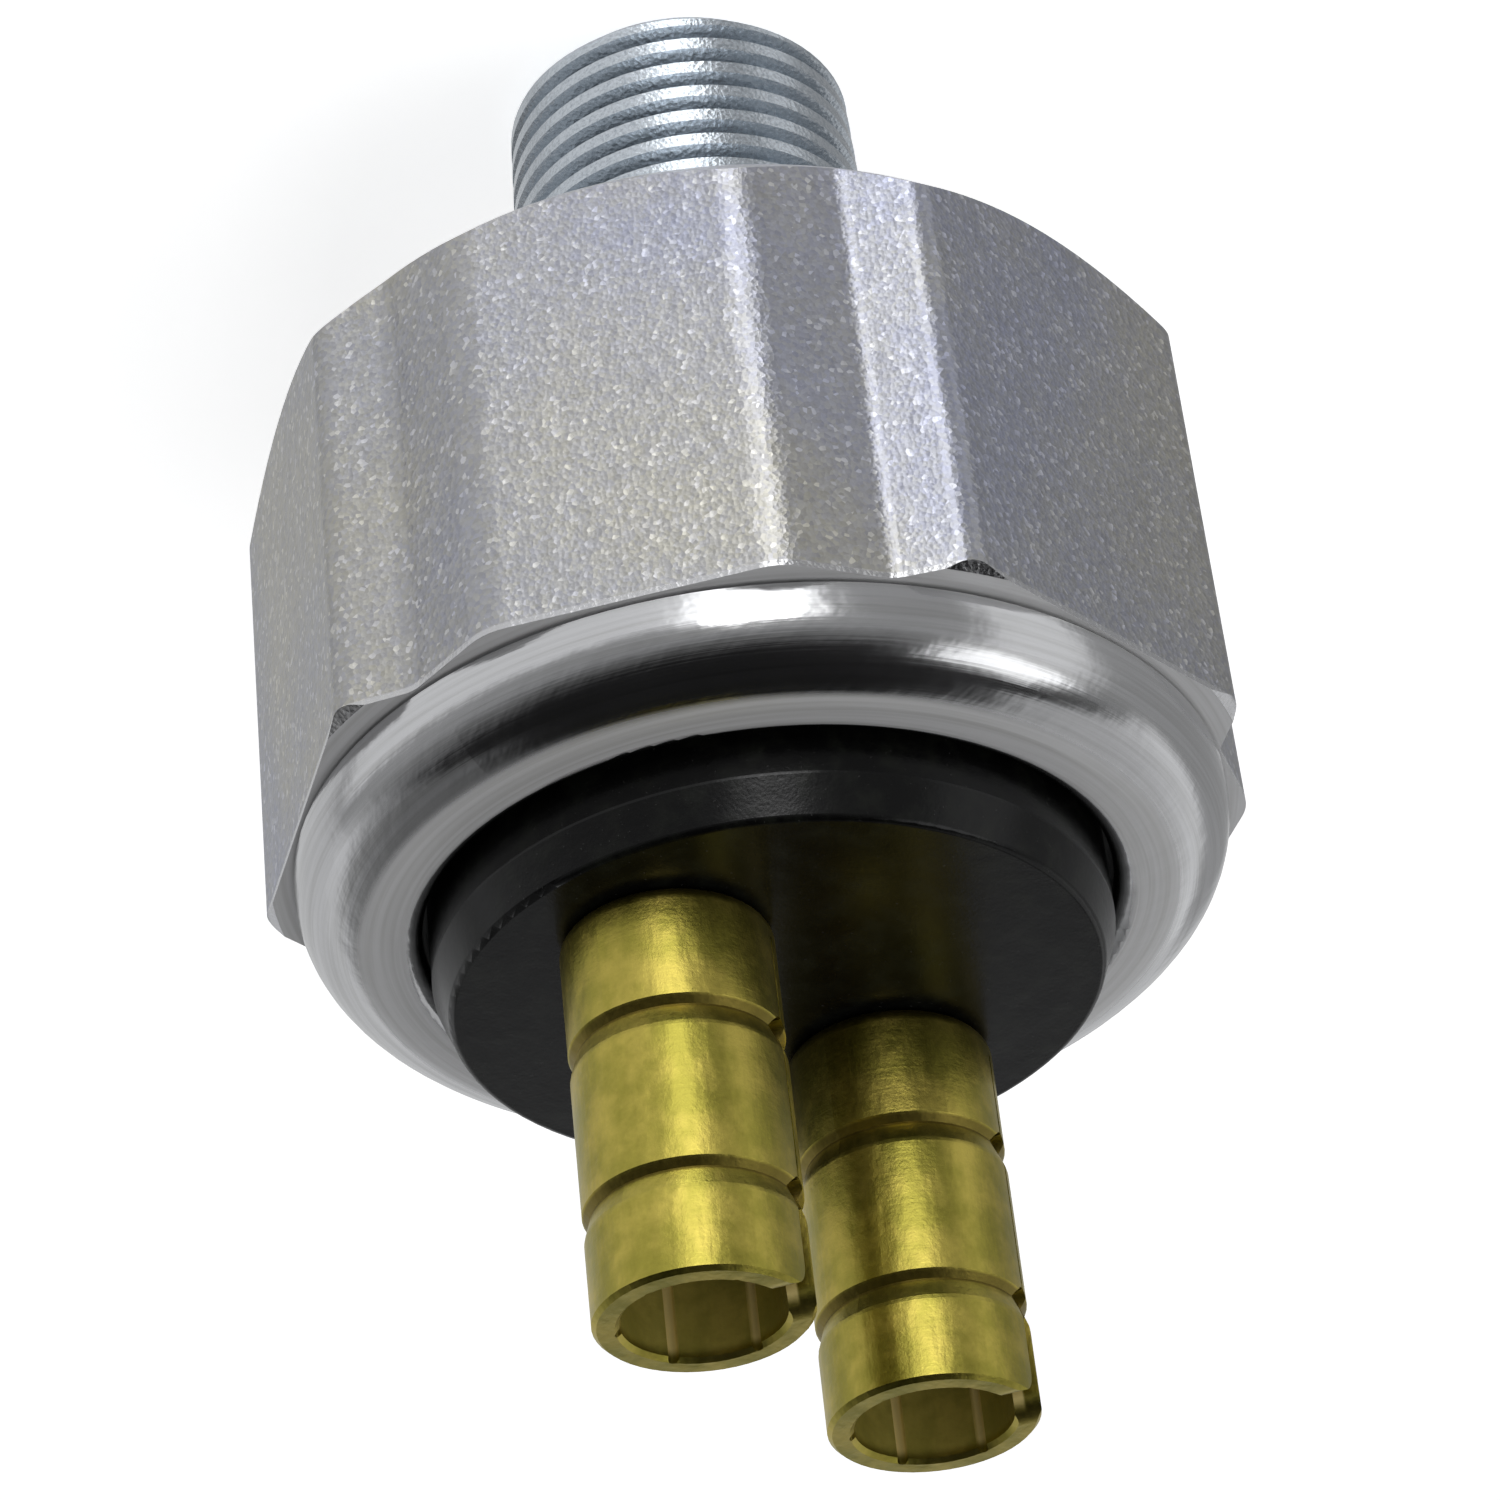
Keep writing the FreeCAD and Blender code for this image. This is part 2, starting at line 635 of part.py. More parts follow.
def make_socket(side, name):
    """Sleeve rolled from brass sheet: floor, two beads, a seam and an open slot."""
    body = new_body("socket_" + name)
    inside = "socket_bore_radius"
    outside = "socket_radius"
    profile = [("rivet_hole_radius", BOSS_TOP), (outside, BOSS_TOP)]
    profile += outer_bead("lower_bead_from_mouth")
    profile += outer_bead("upper_bead_from_mouth")
    profile += [
        (outside, MOUTH + " - socket_mouth_chamfer"),
        (outside + " - socket_mouth_chamfer", MOUTH),
        (inside + " + socket_mouth_chamfer", MOUTH),
        (inside, MOUTH + " - socket_mouth_chamfer"),
    ]
    profile += inner_bead("upper_bead_from_mouth")
    profile += inner_bead("lower_bead_from_mouth")
    profile += [(inside, BOSS_TOP + " + socket_floor"),
                ("rivet_hole_radius", BOSS_TOP + " + socket_floor")]
    sleeve = turn(body, "Revolution", "sleeve_" + name, profile)
    round_edges(body, "sleeve_base_" + name, sleeve,
                circle_edges(sleeve, outside, BOSS_TOP), "socket_base_round")

    first_rib = FreeCAD.Rotation(FreeCAD.Vector(0, 0, 1), SIZES["rib_angle"])
    start = first_rib.multVec(FreeCAD.Vector(SIZES["socket_bore_radius"], 0, 0))
    start.z = value_of(BOSS_TOP + " + socket_floor")
    rib = cutter(body, "Cylinder", "bore_rib_" + name, FreeCAD.Placement(start, FreeCAD.Rotation()),
                 Radius="rib_radius", Height="socket_length")
    ribs = body.newObject("PartDesign::PolarPattern", "bore_ribs_" + name)
    ribs.Originals = [rib]
    ribs.Axis = (plane(body, "Z_Axis"), [""])
    ribs.Angle = SIZES["rib_span"]
    bind(ribs, Angle="rib_span")
    ribs.Occurrences = RIB_COUNT
    body.Tip = ribs
    doc.recompute()

    cut_seam(body, "seam_" + name, "seam_gap", BOSS_TOP + " + socket_floor", "socket_length")
    slot = cut_seam(body, "slot_" + name, "slot_gap", MOUTH + " - upper_bead_from_mouth",
                    "upper_bead_from_mouth")
    slotted = round_edges(body, "slot_corners_" + name, slot, level_edges(slot, MOUTH),
                          "slot_corner_round")
    shoulders = []
    for level in BEAD_LEVELS:
        shoulders += circle_edges(slotted, outside, f"{MOUTH} - {level}_bead_from_mouth + bead_ramp")
    round_edges(body, "bead_shoulders_" + name, slotted, shoulders, "bead_shoulder_round")
    for level in BEAD_LEVELS:
        cut_notch(body, f"notch_{level}_{name}", f"{MOUTH} - {level}_bead_from_mouth")
    stand_on(body, side)


def make_rivet(side, name):
    """Brass rivet through the insulator: inner head, shank and the tail in the socket."""
    socket_floor_top = BOSS_TOP + " + socket_floor"
    body = turned_piece("socket_rivet_" + name, [
        (AXIS, HEAD_FACE),
        ("rivet_head_radius", HEAD_FACE),
        ("rivet_head_radius", HEAD_FACE + " + rivet_head_thickness"),
        ("rivet_radius", HEAD_FACE + " + rivet_head_thickness"),
        ("rivet_radius", socket_floor_top),
        ("rivet_tail_radius", socket_floor_top),
        ("rivet_radius", socket_floor_top + " + rivet_tail_height"),
        (AXIS, socket_floor_top + " + rivet_tail_height"),
    ])
    stand_on(body, side)


def make_washer(side, name):
    """Washer under the rivet's inner head."""
    body = ring("rivet_washer_" + name, "rivet_hole_radius", "washer_radius",
                INSULATOR_BASE + " - washer_thickness", INSULATOR_BASE)
    stand_on(body, side)


def make_tip(side, name):
    """Fixed contact brazed to the rivet's inner head."""
    body = new_body("contact_tip_" + name)
    button = turn(body, "Revolution", "button_" + name, [
        (AXIS, TIP_FACE), ("tip_radius", TIP_FACE), ("tip_radius", HEAD_FACE), (AXIS, HEAD_FACE),
    ])
    round_edges(body, "button_edge_" + name, button,
                circle_edges(button, "tip_radius", TIP_FACE), "tip_round")
    stand_on(body, side)


# --------------------------------------------------------------------- build

make_housing()
make_diaphragm()
make_stack()
make_carrier()
make_spring()
make_insulator()
for side, name in ((-1, "left"), (1, "right")):
    make_socket(side, name)
    make_rivet(side, name)
    make_washer(side, name)
    make_tip(side, name)
doc.recompute()

for item in doc.Objects:
    if "Invalid" in item.State or "Error" in item.State:
        raise RuntimeError(f"{item.Label} did not compute: {item.State}")

pieces = [item for item in doc.Objects if item.TypeId == "PartDesign::Body"]
for piece in pieces:
    if piece.Shape.isNull() or not piece.Shape.isValid():
        raise RuntimeError(f"{piece.Label} has no valid shape")
    if len(piece.Shape.Solids) != 1:
        raise RuntimeError(f"{piece.Label} is {len(piece.Shape.Solids)} solids")

os.makedirs("parts", exist_ok=True)
for piece in pieces:
    piece.Shape.exportStep(f"parts/{piece.Label}.step")
    print(f"{piece.Label}: {piece.Shape.Volume:.2f} mm3")
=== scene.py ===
import math

import bmesh
import bpy
from mathutils import Matrix, Vector


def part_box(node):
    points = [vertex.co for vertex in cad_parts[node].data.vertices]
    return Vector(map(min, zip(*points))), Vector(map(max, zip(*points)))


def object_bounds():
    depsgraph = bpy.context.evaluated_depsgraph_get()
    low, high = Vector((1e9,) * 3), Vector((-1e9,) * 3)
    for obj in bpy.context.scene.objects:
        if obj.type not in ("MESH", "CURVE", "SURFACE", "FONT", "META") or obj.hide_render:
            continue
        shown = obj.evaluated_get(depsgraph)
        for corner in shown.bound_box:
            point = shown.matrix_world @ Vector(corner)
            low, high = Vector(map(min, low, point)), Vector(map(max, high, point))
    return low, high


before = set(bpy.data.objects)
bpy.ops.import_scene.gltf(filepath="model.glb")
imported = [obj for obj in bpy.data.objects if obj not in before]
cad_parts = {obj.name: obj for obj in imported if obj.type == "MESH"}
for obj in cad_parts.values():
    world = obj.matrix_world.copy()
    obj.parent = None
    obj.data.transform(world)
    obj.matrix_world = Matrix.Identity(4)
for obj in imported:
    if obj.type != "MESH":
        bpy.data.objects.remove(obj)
cad_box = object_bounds()

MM = 0.001
PER_MM = 1000.0

# Where the finishes change, in millimetres, worked out from the boxes of the CAD pieces.
SOCKET_LOW, SOCKET_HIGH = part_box("socket_right")
COLLAR_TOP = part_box("housing")[1].z * PER_MM
BOSS_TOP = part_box("insulator")[1].z * PER_MM
MOUTH = SOCKET_HIGH.z * PER_MM
SOCKET_OFFSET = (SOCKET_LOW.x + SOCKET_HIGH.x) / 2 * PER_MM
COLLAR_HEIGHT = 2.5
HEX_HEIGHT = 13.8
SHOULDER = COLLAR_TOP - COLLAR_HEIGHT
HEX_BASE = SHOULDER - HEX_HEIGHT
STEM_LIMIT_RADIUS = 6.2
COLLAR_LIMIT_RADIUS = 12.8
LEVEL_START, LEVEL_FULL = 0.955, 0.995  # upright part of the normal where a face counts as level
BEADS = (MOUTH - 2.9, MOUTH - 7.55)
BEAD_BOTTOM, BEAD_TOP, BEAD_SOFT = -0.20, -0.02, 0.08  # span of the painted shade in each bead, from a bead's height
BASE_SHADE_HEIGHT = 1.6
BORE_LIMIT_RADIUS = 2.42
RIBS_PER_TURN = 6.0
RIB_ANGLE = 298.0
RIB_PHASE = -math.radians(RIB_ANGLE) * RIBS_PER_TURN
RIB_FOOT, RIB_CREST = 0.88, 0.96  # of the cosine that is 1 at each rib


# ------------------------------------------------------------ node materials

class NodeTree:
    """Short calls for the nodes that this scene uses. Lengths are in millimetres."""

    def __init__(self, tree):
        self.tree = tree

    def node(self, kind, inputs=(), **settings):
        made = self.tree.nodes.new(kind)
        for name, value in settings.items():
            setattr(made, name, value)
        for socket, value in dict(inputs).items():
            self.feed(made.inputs[socket], value)
        return made

    def feed(self, socket, value):
        if isinstance(value, bpy.types.NodeSocket):
            self.tree.links.new(value, socket)
        elif isinstance(value, tuple) and socket.type == "RGBA":
            socket.default_value = (*value, 1.0)
        else:
            socket.default_value = value

    def math(self, operation, first, second=0.0):
        return self.node("ShaderNodeMath", {0: first, 1: second}, operation=operation).outputs[0]

    def vector(self, operation, inputs, output="Vector"):
        return self.node("ShaderNodeVectorMath", inputs, operation=operation).outputs[output]

    def add(self, first, second):
        return self.math("ADD", first, second)

    def times(self, first, second):
        return self.math("MULTIPLY", first, second)

    def invert(self, value):
        """1 where value is 0, and 0 where it is 1."""
        return self.math("SUBTRACT", 1.0, value)

    def step(self, value, low, high, to_low=0.0, to_high=1.0):
        """Smooth step from to_low at low to to_high at high."""
        ends = {"From Min": low, "From Max": high, "To Min": to_low, "To Max": to_high}
        made = self.node("ShaderNodeMapRange", {"Value": value, **ends},
                         interpolation_type="SMOOTHSTEP")
        return made.outputs[0]

    def window(self, value, low, high, soft):
        """1 between low and high, 0 outside, with soft shoulders."""
        rise = self.step(value, low - soft, low)
        fall = self.step(value, high, high + soft, 1.0, 0.0)
        return self.times(rise, fall)

    def place(self, centre_x=0.0):
        """Set the point from an upright axis at centre_x, with its parts and its radius."""
        coordinates = self.node("ShaderNodeTexCoord").outputs["Object"]
        scaled = self.vector("MULTIPLY", {0: coordinates, 1: (PER_MM,) * 3})
        self.point = self.vector("SUBTRACT", {0: scaled, 1: (centre_x, 0, 0)})
        self.x, self.y, self.z = self.node("ShaderNodeSeparateXYZ", {0: self.point}).outputs
        self.radius = self.vector("LENGTH", {0: self.stretched(z=0)}, "Value")

    def stretched(self, x=1.0, y=1.0, z=1.0):
        return self.vector("MULTIPLY", {0: self.point, 1: (x, y, z)})

    def rings(self, across=0.25, along=6.0, height=6.0):
        """Coordinates whose noise runs round the axis as fine turned lines."""
        made = self.node("ShaderNodeCombineXYZ", {
            0: self.times(self.x, across),
            1: self.add(self.times(self.y, across), self.times(self.radius, along)),
            2: self.times(self.z, height)})
        return made.outputs[0]

    def noise(self, vector, scale, detail=4.0, roughness=0.55):
        made = self.node("ShaderNodeTexNoise", {
            "Vector": vector, "Scale": scale, "Detail": detail, "Roughness": roughness})
        return made.outputs["Fac"]

    def cells(self, vector, scale):
        """Distance to each cell's middle, and a colour that differs from cell to cell."""
        made = self.node("ShaderNodeTexVoronoi", {"Vector": vector, "Scale": scale})
        return made.outputs["Distance"], made.outputs["Color"]

    def mix(self, factor, first, second, blend="MIX"):
        made = self.node("ShaderNodeMix", {0: factor}, data_type="RGBA", blend_type=blend)
        self.feed(made.inputs[6], first)
        self.feed(made.inputs[7], second)
        return made.outputs[2]

    def blend(self, factor, first, second):
        """Number that goes from first to second as factor goes from 0 to 1."""
        made = self.node("ShaderNodeMix", {0: factor, 2: first, 3: second}, data_type="FLOAT")
        return made.outputs[0]

    def grey(self, value):
        return self.node("ShaderNodeCombineColor", {0: value, 1: value, 2: value}).outputs[0]

    def bump(self, height, distance, strength=1.0, normal=None):
        """Normal bent by a height map, where distance is the relief at a height of 1."""
        inputs = {"Height": height, "Distance": distance * MM, "Strength": strength}
        if normal is not None:
            inputs["Normal"] = normal
        return self.node("ShaderNodeBump", inputs).outputs[0]


class Shader(NodeTree):
    """A Principled material."""

    def __init__(self, name):
        self.material = bpy.data.materials.new(name)
        self.material.use_nodes = True
        super().__init__(self.material.node_tree)
        self.surface = self.tree.nodes["Principled BSDF"]

    def finish(self, colour, roughness, normal=None, metallic=0.0):
        self.feed(self.surface.inputs["Base Color"], colour)
        self.feed(self.surface.inputs["Roughness"], roughness)
        self.feed(self.surface.inputs["Metallic"], metallic)
        if normal is not None:
            self.feed(self.surface.inputs["Normal"], normal)
        return self.material


HEX_ZINC = (0.375, 0.375, 0.385)
HEX_ZINC_WARM = (0.405, 0.395, 0.365)
HEX_ZINC_COOL = (0.345, 0.355, 0.415)
SPARK_WARM = (1.04, 1.03, 0.97)
SPARK_COOL = (0.95, 0.96, 1.04)
STEM_ZINC = (0.52, 0.56, 0.60)
STEM_ZINC_DARK = (0.38, 0.42, 0.46)
COLLAR_STEEL = (0.58, 0.58, 0.59)
COLLAR_STEEL_DARK = (0.48, 0.48, 0.48)


def zinc_housing():
    """Satin zinc on the hexagon, brighter on the thread, turned steel on the collar and ledges."""
    s = Shader("zinc_plated_steel_housing")
    s.place()
    in_stem = s.times(s.step(s.z, HEX_BASE - 0.3, HEX_BASE - 0.05, 1.0, 0.0),
                      s.step(s.radius, STEM_LIMIT_RADIUS - 0.4, STEM_LIMIT_RADIUS, 1.0, 0.0))
    in_collar = s.times(s.step(s.z, SHOULDER + 0.02, SHOULDER + 0.12),
                        s.step(s.radius, COLLAR_LIMIT_RADIUS - 0.05, COLLAR_LIMIT_RADIUS, 1.0, 0.0))
    normal_parts = s.node("ShaderNodeSeparateXYZ", {0: s.node("ShaderNodeTexCoord").outputs["Normal"]})
    level = s.step(s.math("ABSOLUTE", normal_parts.outputs[2]), LEVEL_START, LEVEL_FULL)
    turned = s.math("MAXIMUM", in_collar, s.times(level, s.invert(in_stem)))
    # Band just under the shoulder: its lower roughness is the turned edge's finish, and its lighter
    # colour is a painted highlight.
    rim = s.window(s.z, SHOULDER - 0.14, SHOULDER + 0.05, 0.06)
    rim = s.times(rim, s.invert(in_collar))

    clouds = s.noise(s.point, 0.16, 3.0)
    tint = s.noise(s.stretched(1, 1, 0.6), 0.09, 2.0)
    grain = s.noise(s.point, 8.0, 3.0, 0.7)
    sparkle_shape, sparkle_shade = s.cells(s.point, 7.5)
    sparkle = s.node("ShaderNodeSeparateColor", {0: sparkle_shade})
    ring_lines = s.noise(s.rings(0.10, 5.0, 5.0), 1.0, 3.0, 0.6)
    ring_fine = s.noise(s.rings(0.10, 14.0, 14.0), 1.0, 2.0, 0.6)
    wear = s.noise(s.point, 0.55, 5.0, 0.65)
    scuffs = s.noise(s.stretched(1.4, 1.4, 0.25), 1.2, 4.0, 0.6)

    hex_colour = s.mix(s.step(tint, 0.38, 0.62), HEX_ZINC_WARM, HEX_ZINC_COOL)
    hex_colour = s.mix(s.step(clouds, 0.35, 0.7), hex_colour, HEX_ZINC)
    hex_colour = s.mix(1.0, hex_colour, s.mix(sparkle.outputs[1], SPARK_WARM, SPARK_COOL), "MULTIPLY")
    glint = s.step(sparkle.outputs[2], 0.90, 0.94, 0.0, 0.45)
    shade = s.add(0.74, s.add(s.times(grain, 0.26), s.times(sparkle.outputs[0], 0.20)))
    shade = s.add(shade, glint)
    hex_colour = s.mix(1.0, hex_colour, s.grey(shade), "MULTIPLY")
    hex_colour = s.mix(s.times(rim, 0.8), hex_colour, COLLAR_STEEL)
    stem_colour = s.mix(s.step(grain, 0.25, 0.6), STEM_ZINC_DARK, STEM_ZINC)
    collar_colour = s.mix(s.step(ring_lines, 0.30, 0.66), COLLAR_STEEL_DARK, COLLAR_STEEL)
    colour = s.mix(in_stem, hex_colour, stem_colour)
    colour = s.mix(turned, colour, collar_colour)

    hex_rough = s.add(0.21, s.add(s.times(grain, 0.18), s.times(scuffs, 0.14)))
    hex_rough = s.blend(rim, hex_rough, 0.22)
    stem_rough = s.add(0.16, s.times(wear, 0.18))
    collar_rough = s.add(0.09, s.add(s.times(ring_fine, 0.08), s.times(wear, 0.10)))
    collar_rough = s.add(collar_rough, s.times(level, 0.26))
    rough = s.blend(in_stem, hex_rough, stem_rough)
    rough = s.blend(turned, rough, collar_rough)

    hex_height = s.add(s.times(grain, 0.55), s.times(sparkle_shape, 0.6))
    turned_height = s.add(s.times(ring_lines, 0.6), s.times(ring_fine, 0.4))
    height = s.blend(turned, hex_height, s.times(turned_height, 0.35))
    normal = s.bump(height, 0.022, 0.8)
    peel = s.noise(s.point, 1.5, 2.0)
    peel = s.times(peel, s.invert(s.math("MAXIMUM", turned, in_stem)))
    normal = s.bump(peel, 0.10, 0.30, normal)
    ripples = s.noise(s.rings(0.8, 1.0, 1.0), 1.0, 3.0)
    normal = s.bump(s.times(ripples, in_collar), 0.10, 0.22, normal)
    metal = s.blend(s.times(level, turned), 1.0, 0.35)
    return s.finish(colour, rough, normal, metal)


BRASS = (0.50, 0.405, 0.085)
BRASS_OLIVE = (0.32, 0.28, 0.048)
BRASS_PAINTED_SHADE = (0.11, 0.075, 0.02)
RIB_HIGHLIGHT_BRASS = (0.80, 0.64, 0.26)


def rolled_brass(name, centre_x):
    """Drawn brass sheet: fine grain, painted shade in the beads, in the bore and just above the
    insulator, and painted highlight strips at the bore's ribs.
    """
    s = Shader(name)
    s.place(centre_x)
    grain = s.noise(s.point, 7.0, 3.0, 0.7)
    clouds = s.noise(s.point, 0.7, 4.0, 0.6)
    lines = s.noise(s.rings(0.4, 3.0, 9.0), 1.0, 3.0)
    streaks = s.noise(s.stretched(6.0, 6.0, 0.35), 1.0, 3.0)
    colour = s.mix(s.step(clouds, 0.35, 0.68), BRASS_OLIVE, BRASS)
    shade = s.add(0.74, s.add(s.times(grain, 0.30), s.times(streaks, 0.18)))
    colour = s.mix(1.0, colour, s.grey(shade), "MULTIPLY")
    in_bead = 0.0
    for height in BEADS:
        span = s.window(s.z, height + BEAD_BOTTOM, height + BEAD_TOP, BEAD_SOFT)
        in_bead = s.math("MAXIMUM", in_bead, span)
    inside = s.step(s.radius, BORE_LIMIT_RADIUS - 0.08, BORE_LIMIT_RADIUS, 1.0, 0.0)
    below_mouth = s.step(s.z, MOUTH - 0.45, MOUTH - 0.1, 1.0, 0.0)
    bore = s.times(inside, below_mouth)
    angle = s.math("ARCTAN2", s.y, s.x)
    beside_rib = s.math("COSINE", s.add(s.times(angle, RIBS_PER_TURN), RIB_PHASE))
    # The bright strips at the ribs inside the bore are a painted highlight.
    rib_highlight = s.times(bore, s.step(beside_rib, RIB_FOOT, RIB_CREST))
    base_shade = s.step(s.z, BOSS_TOP, BOSS_TOP + BASE_SHADE_HEIGHT, 0.35, 0.0)
    # Painted shade: the beads, the bore and the foot just above the insulator are darkened towards the
    # dark brass colour.
    tone = s.math("MAXIMUM", s.times(in_bead, 0.65), s.times(bore, 0.25))
    tone = s.math("MAXIMUM", tone, base_shade)
    colour = s.mix(tone, colour, BRASS_PAINTED_SHADE)
    colour = s.mix(s.times(rib_highlight, 0.85), colour, RIB_HIGHLIGHT_BRASS)
    rough = s.add(0.22, s.add(s.times(grain, 0.16), s.times(clouds, 0.10)))
    rough = s.add(rough, s.times(tone, 0.10))
    height = s.add(s.times(grain, 0.6), s.add(s.times(lines, 0.25), s.times(streaks, 0.3)))
    normal = s.bump(height, 0.02, 0.7)
    dents = s.noise(s.stretched(1, 1, 0.5), 0.9, 2.0)
    normal = s.bump(dents, 0.09, 0.5, normal)
    return s.finish(colour, rough, normal, s.blend(bore, 1.0, 0.45))


PHENOLIC = (0.0016, 0.0016, 0.0016)
PHENOLIC_GREY = (0.0050, 0.0055, 0.0042)
PHENOLIC_GLOSS = 0.22
DUST = (0.05, 0.05, 0.048)


def phenolic():
    """Glossy black moulding with mineral mottling, flow marks and a little dust."""
    s = Shader("black_phenolic_moulding")
    s.place()
    mottle = s.noise(s.point, 1.3, 5.0, 0.6)
    flow = s.noise(s.rings(0.5, 1.5, 1.5), 0.8, 3.0)
    specks = s.noise(s.point, 11.0, 2.0, 0.5)
    colour = s.mix(s.step(mottle, 0.42, 0.72), PHENOLIC, PHENOLIC_GREY)
    colour = s.mix(s.step(specks, 0.70, 0.76, 0.0, 0.4), colour, DUST)
    rough = s.add(0.13, s.add(s.times(mottle, 0.14), s.times(specks, 0.06)))
    s.surface.inputs["Specular IOR Level"].default_value = PHENOLIC_GLOSS
    height = s.add(s.times(mottle, 0.4), s.add(s.times(flow, 0.4), s.times(specks, 0.2)))
    return s.finish(colour, rough, s.bump(height, 0.03, 0.5))


def plain_metal(name, bright, dark, roughness, centre_x=0.0):
    """Metal of a hidden or turned piece, with lathe lines and tarnish."""
    s = Shader(name)
    s.place(centre_x)
    lines = s.noise(s.rings(0.3, 8.0, 8.0), 1.0, 3.0)
    tone = s.noise(s.point, 0.9, 5.0, 0.6)
    colour = s.mix(s.step(tone, 0.3, 0.7), dark, bright)
    rough = s.add(roughness, s.times(lines, 0.15))
    return s.finish(colour, rough, s.bump(lines, 0.02, 0.5), 1.0)


def moulded(name, light, dark, roughness, grain_scale):
    """Non-metal piece: rubber, nylon or fibre, with grain and stains."""
    s = Shader(name)
    s.place()
    grain = s.noise(s.point, grain_scale, 4.0, 0.65)
    stain = s.noise(s.point, 0.5, 4.0, 0.6)
    colour = s.mix(s.step(stain, 0.3, 0.7), dark, light)
    rough = s.add(roughness, s.times(grain, 0.2))
    return s.finish(colour, rough, s.bump(grain, 0.03, 0.5))


def assign(node, material):
    """Give a CAD piece one material in all its slots."""
    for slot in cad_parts[node].material_slots:
        slot.material = material


BRIGHT_BRASS = (0.70, 0.55, 0.22)
RIVET_TARNISH = (0.42, 0.30, 0.10)
WASHER_TARNISH = (0.48, 0.36, 0.14)
SILVER = (0.85, 0.84, 0.80)
SILVER_TARNISH = (0.54, 0.52, 0.47)
STEEL = (0.58, 0.58, 0.58)
STEEL_DARK = (0.36, 0.35, 0.34)
NYLON = (0.80, 0.79, 0.73)
NYLON_STAIN = (0.68, 0.65, 0.56)
FIBRE = (0.42, 0.42, 0.40)
FIBRE_STAIN = (0.28, 0.28, 0.26)
RUBBER = (0.030, 0.030, 0.030)
RUBBER_STAIN = (0.014, 0.014, 0.014)


def dress_pieces():
    """Give every CAD piece its material."""
    assign("housing", zinc_housing())
    assign("insulator", phenolic())
    for side, name in ((-1, "left"), (1, "right")):
        centre = side * SOCKET_OFFSET
        assign("socket_" + name, rolled_brass("rolled_brass_" + name, centre))
        assign("socket_rivet_" + name,
               plain_metal("rivet_brass_" + name, BRIGHT_BRASS, RIVET_TARNISH, 0.25, centre))
        assign("rivet_washer_" + name,
               plain_metal("washer_brass_" + name, BRIGHT_BRASS, WASHER_TARNISH, 0.30, centre))
        assign("contact_tip_" + name,
               plain_metal("contact_silver_" + name, SILVER, SILVER_TARNISH, 0.20, centre))
    assign("contact_disc", plain_metal("contact_disc_silver", SILVER, SILVER_TARNISH, 0.22))
    for node in ("clamp_ring", "pressure_plate", "disc_retainer", "return_spring"):
        assign(node, plain_metal("bare_steel_" + node, STEEL, STEEL_DARK, 0.28))
    for node in ("piston", "guide_plate"):
        assign(node, moulded("white_nylon_" + node, NYLON, NYLON_STAIN, 0.40, 5.0))
    assign("contact_liner", moulded("grey_fibre_liner", FIBRE, FIBRE_STAIN, 0.65, 7.0))
    for node in ("diaphragm", "rim_gasket"):
        assign(node, moulded("black_rubber_" + node, RUBBER, RUBBER_STAIN, 0.60, 6.0))


# -------------------------------------------------------------------- studio

STAGE_RADIUS = 0.9
STAGE_SEGMENTS = 96
STAGE_RISE_STEPS = 24
FLOOR_STEPS = 6
FLOOR_GREY = (0.86, 0.86, 0.86)
FLOOR_PALE = (0.92, 0.92, 0.92)
FLOOR_GLOW = 0.72


def make_stage():
    """Pale floor that sweeps up into a dome. Only the camera sees it, so it lights nothing."""
    mesh = bpy.data.meshes.new("studio_floor")
    build = bmesh.new()
    profile = [(STAGE_RADIUS * step / FLOOR_STEPS, 0.0) for step in range(1, FLOOR_STEPS + 1)]
    for step in range(1, STAGE_RISE_STEPS):
        turn = math.pi / 2 * step / STAGE_RISE_STEPS
        profile.append((STAGE_RADIUS * math.cos(turn), STAGE_RADIUS * math.sin(turn)))
    rings = []
    for radius, height in profile:
        ring = []
        for segment in range(STAGE_SEGMENTS):
            angle = 2 * math.pi * segment / STAGE_SEGMENTS
            ring.append(build.verts.new((radius * math.cos(angle), radius * math.sin(angle), height)))
        rings.append(ring)
    centre = build.verts.new((0, 0, 0))
    top = build.verts.new((0, 0, STAGE_RADIUS))
    for segment in range(STAGE_SEGMENTS):
        after = (segment + 1) % STAGE_SEGMENTS
        build.faces.new((centre, rings[0][segment], rings[0][after]))
        build.faces.new((rings[-1][segment], top, rings[-1][after]))
        for low, high in zip(rings, rings[1:]):
            build.faces.new((low[segment], high[segment], high[after], low[after]))
    build.to_mesh(mesh)
    build.free()
    mesh.polygons.foreach_set("use_smooth", [True] * len(mesh.polygons))
    stage = bpy.data.objects.new("studio_floor", mesh)
    bpy.context.scene.collection.objects.link(stage)
    s = Shader("pale_floor")
    coordinates = s.node("ShaderNodeTexCoord").outputs["Object"]
    mottle = s.noise(coordinates, 9.0, 3.0)
    pale = s.mix(mottle, FLOOR_GREY, FLOOR_PALE)
    s.finish(pale, 0.9)
    s.feed(s.surface.inputs["Emission Color"], pale)
    s.surface.inputs["Emission Strength"].default_value = FLOOR_GLOW
    mesh.materials.append(s.material)
    for ray in ("diffuse", "glossy", "transmission", "volume_scatter", "shadow"):
        setattr(stage, "visible_" + ray, False)


